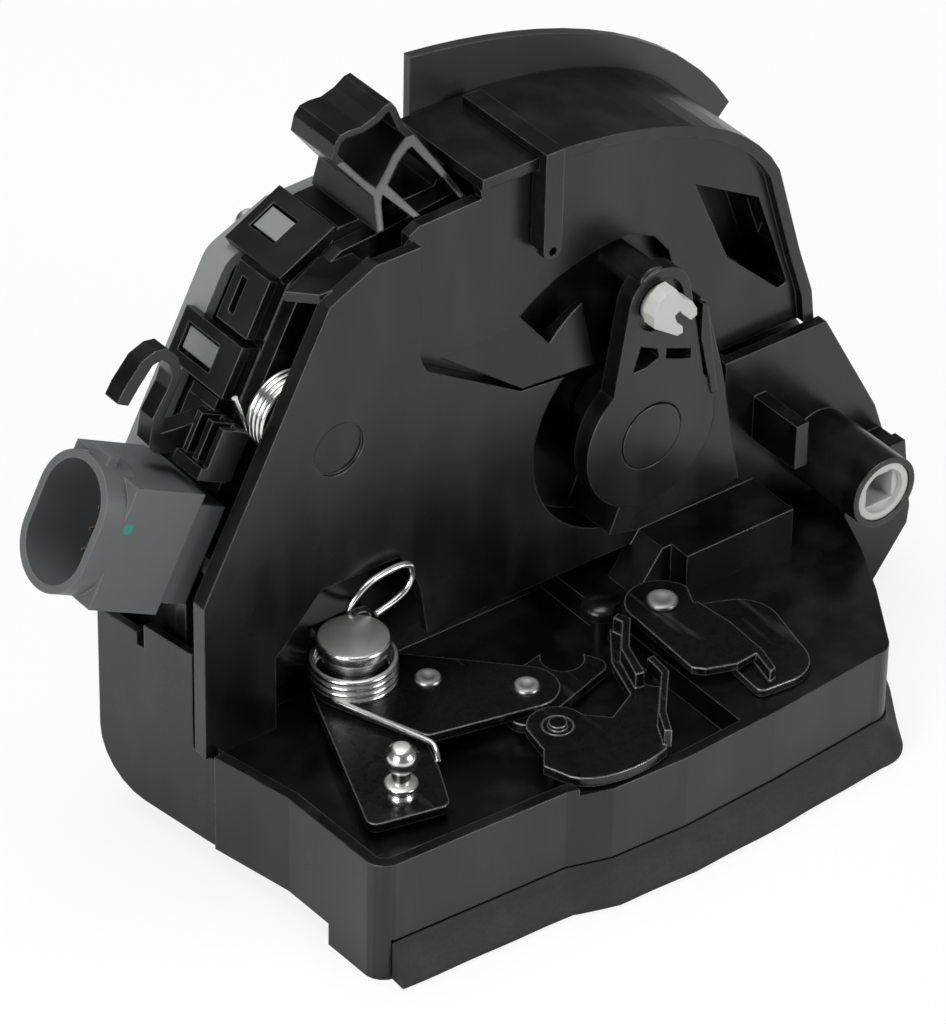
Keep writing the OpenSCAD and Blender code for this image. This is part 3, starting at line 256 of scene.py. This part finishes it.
# %% [markdown]
# Steel. The levers are stamped sheet with a thin black coat from a dip bath: nearly as dark as the
# plastic but smoother, with an orange-peel ripple, and paler where the cut edges rub. The plates are
# zinc plated, the posts and rivets are bare turned steel, and the springs are drawn wire. The tops of
# the turned pieces were faced on the lathe, so they are duller than their round sides.

# %% Coated and plated sheet
def coated_sheet():
    """Black coat with an orange-peel ripple, rubbed to grey steel along the edges."""
    r = Recipe("black coated steel")
    soft, edges = r.rounded(0.6)
    peel = r.noise(1.6, 2)
    worn = edges * r.noise(1.4, 3).between(0.1, 0.4)
    marks = r.noise(4, 5, stretch=(1, 0.12, 1)).between(0.6, 0.72)
    tint = r.mix(worn * 0.9 + marks * 0.1, (0.003, 0.003, 0.0034), (0.34, 0.34, 0.345))
    return r.finish(Base_Color=tint, Metallic=worn * 0.6, Roughness=peel.between(0.3, 0.7, 0.24, 0.32),
                    Normal=r.bump(peel, 0.012, soft))


def plated_sheet():
    """Zinc with soft crystals and the rolling marks of the sheet."""
    r = Recipe("zinc plated steel")
    soft, edges = r.rounded(0.3)
    spangle = r.noise(3.5, 4)
    drawn = r.noise(1.2, 4, stretch=(0.08, 1, 1))
    tint = r.mix(spangle.between(0.3, 0.7), (0.50, 0.51, 0.53), (0.66, 0.67, 0.68))
    return r.finish(Base_Color=tint, Metallic=1.0, Roughness=drawn.between(0.3, 0.7, 0.26, 0.42) - edges * 0.08,
                    Normal=r.bump(drawn, 0.006, soft))


finishes["coated_steel"] = coated_sheet()
finishes["plated_steel"] = plated_sheet()


# %% Bare steel, wire, rubber, board and contacts
def bare_steel(name, light, dark, rough, edge=0.25):
    """Bare metal with a light stain; flat tops are duller by faced."""
    r = Recipe(name)
    soft, _ = r.rounded(edge)
    stain = r.noise(6, 3)
    fine = r.noise(0.8, 3)
    tint = r.mix(stain.between(0.3, 0.8), light, dark)
    facing = r.node("ShaderNodeTexCoord", {}, {}, "Normal")
    faced = r.node("ShaderNodeSeparateXYZ", {}, {0: facing}, "Z").between(0.75, 0.97)
    return r.finish(Base_Color=tint, Metallic=1.0, Normal=soft,
                    Roughness=fine.between(0.3, 0.7, rough - 0.02, rough + 0.03) + faced * 0.36)


def rubber():
    """Foamed rubber: matt, finely pitted and a little dusty."""
    r = Recipe("black foam rubber")
    soft, edges = r.rounded(0.5)
    cells = r.noise(0.5, 4)
    dust = r.noise(6, 5).between(0.5, 0.75)
    tint = r.mix(dust * 0.35 + edges * 0.2, (0.006, 0.006, 0.0063), (0.03, 0.03, 0.032))
    return r.finish(Base_Color=tint, Roughness=cells.between(0.3, 0.7, 0.62, 0.72),
                    Normal=r.bump(cells, 0.03, soft))


def board():
    """Green lacquer over copper tracks, drawn as the borders of square cells."""
    r = Recipe("printed board")
    soft, _ = r.rounded(0.2)
    tracks = r.node("ShaderNodeTexVoronoi", {"feature": "DISTANCE_TO_EDGE", "distance": "MANHATTAN"},
                    {"Vector": r.place, "Scale": 210.0}, "Distance").between(0.04, 0.07)
    tint = r.mix(tracks, (0.03, 0.17, 0.07), (0.012, 0.085, 0.035))
    return r.finish(Base_Color=tint, Roughness=tracks * 0.1 + 0.3, Normal=r.bump(tracks, 0.02, soft))


finishes["bright_steel"] = bare_steel("bright turned steel", (0.84, 0.84, 0.83), (0.74, 0.74, 0.73), 0.22)
finishes["rivet_steel"] = bare_steel("struck rivet steel", (0.38, 0.38, 0.38), (0.26, 0.26, 0.26), 0.34)
finishes["spring_steel"] = bare_steel("drawn spring wire", (0.80, 0.80, 0.79), (0.68, 0.68, 0.68), 0.18, 0.1)
finishes["contact_metal"] = bare_steel("tinned brass", (0.72, 0.63, 0.42), (0.58, 0.48, 0.30), 0.24, 0.1)
finishes["seal_rubber"] = rubber()
finishes["board"] = board()
print("finishes:", len(finishes))

# %% [markdown]
# Each solid that is already the right shape keeps its mesh and gets its finish. The record says which
# material each node has, so one loop dresses them all. The shield over the roof is of a greyer stock
# than the housing, so it alone has a look of its own.

# %% Dress the solids
look_of = {"top_shield": "shield_plastic"}
slot_of = {part["node"]: part["material_slot"] for part in frame["record"]["subparts"]}
body_of = {node: body for body, nodes in frame["record"]["behaviour"]["bodies"].items() for node in nodes}
for node, solid in frame["nodes"].items():
    look = finishes[look_of.get(node, slot_of[node])]
    if not solid.material_slots:
        solid.data.materials.append(look)
    for slot in solid.material_slots:
        slot.material = look
print("dressed", len(slot_of), "solids with", len(set(slot_of.values())), "finishes")

# %% [markdown]
# The springs are real wire. The solids hold them as a coarse tube; here the same line becomes a round,
# smooth one. A Geometry Nodes tree sweeps a circle along the line: the line is resampled so that the
# rings are even, the circle gives the wire's thickness, and the ends are closed. The line itself is
# worked out in Python, because a leg, a coil and a loop follow each other in one wire.

# %% A tree that sweeps a wire along a line
class Steps:
    """One Geometry Nodes tree with named inputs."""

    def __init__(self, name, inputs):
        self.tree = bpy.data.node_groups.new(name, "GeometryNodeTree")
        face = self.tree.interface
        face.new_socket("Geometry", in_out="INPUT", socket_type="NodeSocketGeometry")
        self.ids = {}
        for key, kind in inputs.items():
            self.ids[key] = face.new_socket(key, in_out="INPUT", socket_type=kind).identifier
        face.new_socket("Geometry", in_out="OUTPUT", socket_type="NodeSocketGeometry")
        self.start = self.tree.nodes.new("NodeGroupInput")

    def given(self, name):
        """The tree's own input of that name."""
        return self.start.outputs[name]

    def node(self, kind, settings, inputs, output=0):
        """A new node with its settings and inputs; gives back one of its outputs."""
        made = self.tree.nodes.new(kind)
        for key, value in settings.items():
            setattr(made, key, value)
        for key, value in inputs.items():
            if isinstance(value, bpy.types.NodeSocket):
                self.tree.links.new(value, made.inputs[key])
            else:
                made.inputs[key].default_value = value
        return made.outputs[output]

    def end(self, geometry, material):
        """Closes the tree: real faces with a material."""
        real = self.node("GeometryNodeRealizeInstances", {}, {"Geometry": geometry})
        done = self.node("GeometryNodeSetMaterial", {}, {"Geometry": real, "Material": material})
        out = self.tree.nodes.new("NodeGroupOutput")
        self.tree.links.new(done, out.inputs["Geometry"])

    def run(self, source, name, **values):
        """Runs the tree on an object and returns what it made as a plain mesh object."""
        modifier = source.modifiers.new("steps", "NODES")
        modifier.node_group = self.tree
        for key, value in values.items():
            modifier[self.ids[key.replace("_", " ")]] = value
        bpy.context.view_layer.update()
        seen = source.evaluated_get(bpy.context.evaluated_depsgraph_get())
        piece = add(name, bpy.data.meshes.new_from_object(seen))
        bpy.data.objects.remove(source)
        return piece


sweep = Steps("sweep a wire", {"Wire radius": "NodeSocketFloat", "Ring gap": "NodeSocketFloat",
                               "Sides": "NodeSocketInt", "Material": "NodeSocketMaterial"})
even = sweep.node("GeometryNodeResampleCurve", {"mode": "LENGTH"},
                  {"Curve": sweep.given("Geometry"), "Length": sweep.given("Ring gap")})
ring = sweep.node("GeometryNodeCurvePrimitiveCircle", {},
                  {"Resolution": sweep.given("Sides"), "Radius": sweep.given("Wire radius")})
tube = sweep.node("GeometryNodeCurveToMesh", {}, {"Curve": even, "Profile Curve": ring, "Fill Caps": True})
sweep.end(sweep.node("GeometryNodeSetShadeSmooth", {}, {"Geometry": tube}), sweep.given("Material"))
print("sweep tree has", len(sweep.tree.nodes), "nodes")


# %% Helpers for wires and for handing a piece over
def give(piece, slot, node, look=None, twist=None):
    """Hands a finished piece to the frame: its finish, its body and the solid it stands for.
    A piece with a twist, (body, start, end), is only fixed where it lies and joins no body; the three values are not
    used."""
    if not piece.data.materials:
        piece.data.materials.append(finishes[look or slot])
    if twist:
        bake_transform(piece)
    else:
        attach(piece, body_of[node])
    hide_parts(node)
    print(piece.name, "has", len(piece.data.polygons), "faces")


ring_gap = 0.45  # millimetres between the rings of a swept wire


def wire(name, points, radius, node, sides=20, twist=None):
    """A round spring wire through points in millimetres, rounded at each of them."""
    line = bpy.data.curves.new(name, "CURVE")
    line.dimensions = "3D"
    spline = line.splines.new("NURBS")
    spline.points.add(len(points) - 1)
    for point, place in zip(spline.points, points):
        point.co = (*mm(*place), 1)
    spline.order_u, spline.use_endpoint_u, spline.resolution_u = 3, True, 8
    made = sweep.run(add(name, line), name, Wire_radius=mm(radius), Ring_gap=mm(ring_gap), Sides=sides,
                     Material=finishes["spring_steel"])
    give(made, "spring_steel", node, twist=twist)


def turns(centre, radius, start, count, pitch, z):
    """Points on a coil round a line along Z, with angles in degrees. The rounded line cuts the corners
    between its points, so they lie a little further out than the radius."""
    step = 15
    grow = 1 / math.cos(math.radians(step / 2)) ** 0.5
    return [(centre[0] + radius * grow * math.cos(math.radians(start + i * step)),
             centre[1] + radius * grow * math.sin(math.radians(start + i * step)),
             z + pitch * i * step / 360) for i in range(round(count * 360 / step) + 1)]


# %% [markdown]
# The post's spring is the brightest thing on the lock: nearly four turns that lie on each other round
# the post, a long straight leg that runs out over the lever with the ball and hooks down at its tip,
# and a narrow loop that stands up behind the post. The leg goes most of the way with the lever when
# that turns, the coil twists and the loop stays; the piece itself is fixed where it lies and joins no body.

# %% Post spring
post = (-27.8, 12.4)
coil_z = 24.45
coil_wire = 1.3
leg = [(-28.5, -15.4, 22.9), (-28.0, -14.1, 24.2), (-27.6, -12.7, 24.9), (-28.0, -11.1, 25.1)]
coil = turns(post, 8.1, 196, 3.7, coil_wire + 0.15, coil_z + 0.9)
loop = [(post[0] + x, post[1] + y, coil_z + z) for x, y, z in (
    (3.6, 7.1, 7.4), (5.5, 5.9, 8.1), (6.8, 4.2, 8.8), (6.8, 4.2, 11), (5.4, 3.8, 12.4), (2.4, 3.4, 13.2),
    (-1.2, -1, 16), (-4.6, -5.4, 20.4), (-6.2, -6.4, 23.6), (-2.2, -6.4, 27.4), (2.4, -6.4, 28.4), (7, -6.4, 28.4),
    (8.8, -6.4, 27.2), (9, -6.4, 24.6), (7.6, -6.4, 22.2), (4.6, -6.4, 20.6), (0.4, -6.4, 19.6))]
wire("post_spring", leg + coil + loop, coil_wire / 2, "lever_spring",
     twist=("inside_lever", mm(*post, coil_z + 5.8), mm(*post, coil_z - 4)))

# %% [markdown]
# The other three springs are made the same way, each round its own middle: one lies behind the panel's
# leaning edge with its line along Y, and the claw and the pawl have one each round their pins.

# %% Springs of the panel, claw and pawl
def moved(points, x, y, z):
    """Points shifted by a place."""
    return [(x + a, y + b, z + c) for a, b, c in points]


def upright(points):
    """Turns points made round a line along Z so that the line runs along Y."""
    return [(a, -c, b) for a, b, c in points]


panel_line = [(-9.6, 5.4, -0.5), (-8.4, 1.6, -0.2)] + turns((0, 0), 7.6, 184, 4, 1.25, 0)
panel_line += [(-4, -12, 5.2), (-1, -16, 5)]
claw_line = [(-14, -7, 0.6), (-5.5, -5, 0.4)] + turns((0, 0), 4.6, 250, 2.6, 1.3, 0.2) + [(10, 6, 3.6)]
pawl_line = [(-12, -4, 0.6), (-4.5, -4, 0.4)] + turns((0, 0), 4.4, 235, 2.6, 1.3, 0.2) + [(14, 2, 3.6)]
wire("panel_spring", moved(upright(panel_line), -41.5, 17.2, 91), 0.6, "return_spring")
wire("claw_coil", moved(claw_line, -19, 2, 12), 0.5, "claw_spring", sides=14)
wire("pawl_coil", moved(pawl_line, -7.9, -25, 12), 0.5, "pawl_spring", sides=14)

# %% [markdown]
# Turned pieces. The posts and rivets come off a lathe, so they are made the same way here: a profile of
# radius and height is spun round a line. Each bright head gets what the solid leaves out: a broken rim
# edge, the dimple where the rivet was closed, and the small flat that the lathe leaves on the ball.

# %% A profile spun round a line
def solid_from(form, name, crease):
    """A piece from a bmesh: faces outwards, smooth up to a crease in degrees."""
    bmesh.ops.recalc_face_normals(form, faces=form.faces)
    mesh = bpy.data.meshes.new(name)
    form.to_mesh(mesh)
    form.free()
    mesh.shade_smooth()
    mesh.set_sharp_from_angle(angle=math.radians(crease))
    return add(name, mesh)


def spun(name, jobs, sides=64, start=0.0):
    """One mesh of spun profiles; a job is its middle (x, y) and its (radius, height) steps from below."""
    form = bmesh.new()
    for (x, y), steps in jobs:
        rows = []
        for radius, height in steps:
            count = sides if radius else 1
            rows.append([form.verts.new(mm(x + radius * math.cos(start + math.tau * i / sides),
                                           y + radius * math.sin(start + math.tau * i / sides), height))
                         for i in range(count)])
        for under, over in zip(rows, rows[1:]):
            for i in range(sides):
                corners = [under[i % len(under)], under[(i + 1) % len(under)],
                           over[(i + 1) % len(over)], over[i % len(over)]]
                form.faces.new(list(dict.fromkeys(corners)))
    return solid_from(form, name, 38)


# %% Post, ball stud and rivets
post_steps = [(0, 16.6), (4, 16.6), (4, 20), (5, 20), (5, 29.6), (5.9, 29.6), (6.1, 29.9), (6.1, 32.4), (6.9, 32.6),
              (7.2, 32.9), (7.2, 34.6), (7.05, 34.95), (6.8, 35.13), (6.5, 35.2), (0, 35.2)]
give(spun("turned_post", [(post, post_steps)], 96), "bright_steel", "lever_post")
ball_mid, ball_r = 31.95, 3.25
ball_arc = [(ball_r * math.cos(math.radians(a)), ball_mid + ball_r * math.sin(math.radians(a)))
            for a in range(-56, 67, 6)]
stud_steps = [(0, 21), (2, 21), (2, 23.5), (3, 23.5), (2.8, 24.1), (2.4, 24.5), (2.4, 25.3), (3, 25.45), (3.28, 25.8),
              (3.3, 26.3), (3, 26.6), (1.9, 26.75), (1.8, 27.3)] + ball_arc + [(0, ball_arc[-1][1])]
give(spun("turned_ball", [((-40.4, -19.6), stud_steps)]), "bright_steel", "ball_stud")


def closed_rivet(foot, seat, top, shank, head):
    """Steps of a rivet whose head was closed with a punch."""
    rim = [(head, seat), (head - 0.05, top - 0.45), (head - 0.4, top - 0.1), (head - 0.9, top)]
    dimple = [(head * 0.45, top - 0.08), (head * 0.35, top - 0.3), (0, top - 0.38)]
    return [(0, foot), (shank, foot), (shank, seat)] + rim + dimple


short_rivet, long_rivet = (closed_rivet(foot, 25.8, 26.6, 1.8, 2.7) for foot in (23.4, 21.15))
give(spun("lever_rivet_pair", [((-17, 3.2), short_rivet), ((-3.4, -9.8), long_rivet)], 40),
     "bright_steel", "lever_rivets", look="rivet_steel")
# the outside lever's rivet has a thinner foot under its shank
outside_steps = [(0, 18), (2.1, 18), (2.1, 25.5)] + closed_rivet(25.5, 30.2, 31.2, 2.5, 3.2)[1:]
give(spun("outside_rivet_turned", [((30.4, -8.4), outside_steps)], 48),
     "bright_steel", "outside_rivet", look="rivet_steel")

# %% [markdown]
# Repeats. The cover's four screws and the plug's eight contacts are each one piece set on a row of
# points, so a second tree stands a given piece on every point of a mesh and turns it.

# %% A tree that stands a piece on points
stand = Steps("stand a piece on points", {"Piece": "NodeSocketObject", "Turn": "NodeSocketVector",
                                          "Material": "NodeSocketMaterial"})
turn = stand.node("FunctionNodeEulerToRotation", {}, {"Euler": stand.given("Turn")})
shape = stand.node("GeometryNodeObjectInfo", {}, {"Object": stand.given("Piece")}, "Geometry")
rows = stand.node("GeometryNodeInstanceOnPoints", {}, {"Points": stand.given("Geometry"), "Instance": shape,
                                                      "Rotation": turn})
stand.end(rows, stand.given("Material"))


def repeat(name, piece, places, turned, slot, node):
    """Stands a piece on places in millimetres, turned by angles in degrees."""
    spots = bpy.data.meshes.new(name)
    spots.from_pydata([mm(*p) for p in places], [], [])
    made = stand.run(add(name, spots), name, Piece=piece, Turn=[math.radians(a) for a in turned],
                     Material=finishes[slot])
    bpy.data.objects.remove(piece)
    give(made, slot, node)


# %% Screws and contacts
screw_steps = [(0, 0), (1.4, 0), (1.4, 6.1), (2.6, 6.1), (2.6, 7.1), (2.35, 7.6), (2, 7.7), (1.35, 7.7), (1.25, 6.7),
               (0, 6.5)]
screw_places = [(x, 36.4, z) for x, z in ((-52, 46), (20, 46), (20, 108), (-30, 113))]
repeat("cover_screw_set", spun("screw", [((0, 0), screw_steps)], 36), screw_places,
       (-90, 0, 0), "bright_steel", "cover_screws")
# the plug socket leans with the wall: along is measured up the wall, out is measured square to it
lean_angle = 27.2
lean = math.radians(lean_angle)
socket_along, socket_out, socket_y = 32, 93.6, 23.7
contact_places = []
for i in range(4):
    along, out = socket_along + (i - 1.5) * 4.4, socket_out
    contact_places += [(along * math.sin(lean) - out * math.cos(lean), socket_y + side * 2.6,
                        along * math.cos(lean) + out * math.sin(lean)) for side in (-1, 1)]
contact_steps = [(0, 0), (0.56, 0), (0.56, 8.1), (0.28, 9), (0, 9)]
repeat("contact_set", spun("contact", [((0, 0), contact_steps)], 4, math.pi / 4), contact_places,
       (0, lean_angle - 90, 0), "contact_metal", "connector_pins")

# %% [markdown]
# The rubber lip. The solid is a flight of steps; the real lip is one soft flare that waves a little
# where it was pulled over the tray's corners. Its section is drawn once and carried along the tray's
# outline, and each station pushes it out by a slightly different share.

# %% Rubber lip
def bow(centre, radius, first, last, count):
    """Points on an arc between two angles in degrees."""
    angles = [math.radians(first + (last - first) * i / count) for i in range(count + 1)]
    return [(centre[0] + radius * math.cos(a), centre[1] + radius * math.sin(a)) for a in angles]


def spread(line, gap):
    """Points along a line, about a gap apart, with the line's own corners among them."""
    spots = []
    for first, last in zip(line, line[1:]):
        first, last = Vector(first), Vector(last)
        count = max(1, round((last - first).length / gap))
        spots += [first.lerp(last, i / count) for i in range(count)]
    return spots + [Vector(line[-1])]


edge_line = [(-56.8, -39.05), (-18, -40.8), (-9, -43.6), (8, -44.4), (30, -43.4), (56.5, -41.2)]
edge_line += bow((58, -36.7), 4.5, 275, 325, 8) + [(70.6, -25), (77, -13), (77.4, -12.1)]
stations = spread(edge_line, 1.5)
section = [(0.1, 0.4), (3.6, 0.4), (4.1, 0.55), (4.15, 1.1), (3.9, 1.7), (3.35, 2.5), (2.4, 4), (1.7, 5.1),
           (1.2, 5.9), (0.75, 7), (0.55, 7.9), (0.5, 8.7), (0.3, 9), (0.1, 9)]
flare, ripple = 0.965, 0.035  # the lip's mean share of the section's width, and how much it waves
lip = bmesh.new()
rings = []
for i, spot in enumerate(stations):
    along = (stations[min(i + 1, len(stations) - 1)] - stations[max(i - 1, 0)]).normalized()
    out = Vector((along.y, -along.x))
    wave = flare + ripple * math.sin(i * 0.37) * math.cos(i * 0.11)
    rings.append([lip.verts.new(mm(spot.x + out.x * d * wave, spot.y + out.y * d * wave, z)) for d, z in section])
for here, there in zip(rings, rings[1:]):
    for j in range(len(section)):
        k = (j + 1) % len(section)
        lip.faces.new((here[j], here[k], there[k], there[j]))
lip.faces.new(rings[0])
lip.faces.new(rings[-1])
give(solid_from(lip, "rubber_lip", 50), "seal_rubber", "seal_strip")

# %% [markdown]
# Floor and light. A plain pale floor keeps the soft shadow, and the camera sees a white room round it.
# The lock is black, so its shapes are drawn by what its faces reflect: one soft lamp stands at the
# front and to the right, a larger one at the left, and the largest hangs overhead.

# %% Floor
low = min(cad_box[0][2], cad_box[1][2])
reach = 3  # metres from the middle to the floor's sides
seen_share = 0.85  # how white the floor is made for the camera, so that a soft shadow stays
floor_mesh = bpy.data.meshes.new("floor")
floor_mesh.from_pydata([(-reach, -reach, low), (reach, -reach, low), (reach, reach, low), (-reach, reach, low)],
                       [], [(0, 1, 2, 3)])
floor = add("floor", floor_mesh)
pale = Recipe("pale floor")
seen = pale.node("ShaderNodeLightPath", {}, {}, "Is Camera Ray")
dull = pale.node("ShaderNodeBsdfPrincipled", {}, {"Base Color": (0.86, 0.86, 0.86), "Roughness": 0.9,
                                                  "Specular IOR Level": 0.1})
white = pale.node("ShaderNodeEmission", {}, {"Color": (1, 1, 1), "Strength": 1.0})
both = pale.node("ShaderNodeMixShader", {}, {0: seen * seen_share, 1: dull, 2: white})
floor_mesh.materials.append(pale.close(both))
print("floor at", low, "metres")

# %% Room and lamps
# white for the camera; mirrors see a little of that, and the room itself gives only a weak light
mirror_share, room_light = 0.06, 0.07
room = Recipe("room", bpy.data.worlds)
by_camera, by_mirror, by_glass = (room.node("ShaderNodeLightPath", {}, {}, f"Is {ray} Ray")
                                  for ray in ("Camera", "Glossy", "Transmission"))
shiny = room.node("ShaderNodeMath", {"operation": "MAXIMUM"}, {0: by_mirror, 1: by_glass})
seen_white = room.node("ShaderNodeMath", {"operation": "MAXIMUM"}, {0: by_camera, 1: shiny * mirror_share})
strength = seen_white.between(0, 1, room_light, 1.0)
sky = room.node("ShaderNodeBackground", {}, {"Color": (1, 1, 1), "Strength": strength})
bpy.context.scene.world = room.close(sky, "ShaderNodeOutputWorld")


def lamp(name, place, aim, size, power):
    """A soft square lamp at a place in metres that looks at another."""
    light = bpy.data.lights.new(name, "AREA")
    light.shape, light.size, light.energy = "SQUARE", size, power
    towards = (Vector(aim) - Vector(place)).to_track_quat("-Z", "Y")
    add(name, light).matrix_world = Matrix.Translation(place) @ towards.to_matrix().to_4x4()


middle = (0.0, 0.0, 0.06)
lamp("front right", (0.55, -1.15, 0.50), middle, 0.5, 8)
lamp("front left", (-1.2, -0.35, 0.55), middle, 0.7, 11)
lamp("overhead", (-0.15, 0.1, 1.4), middle, 1.0, 16)
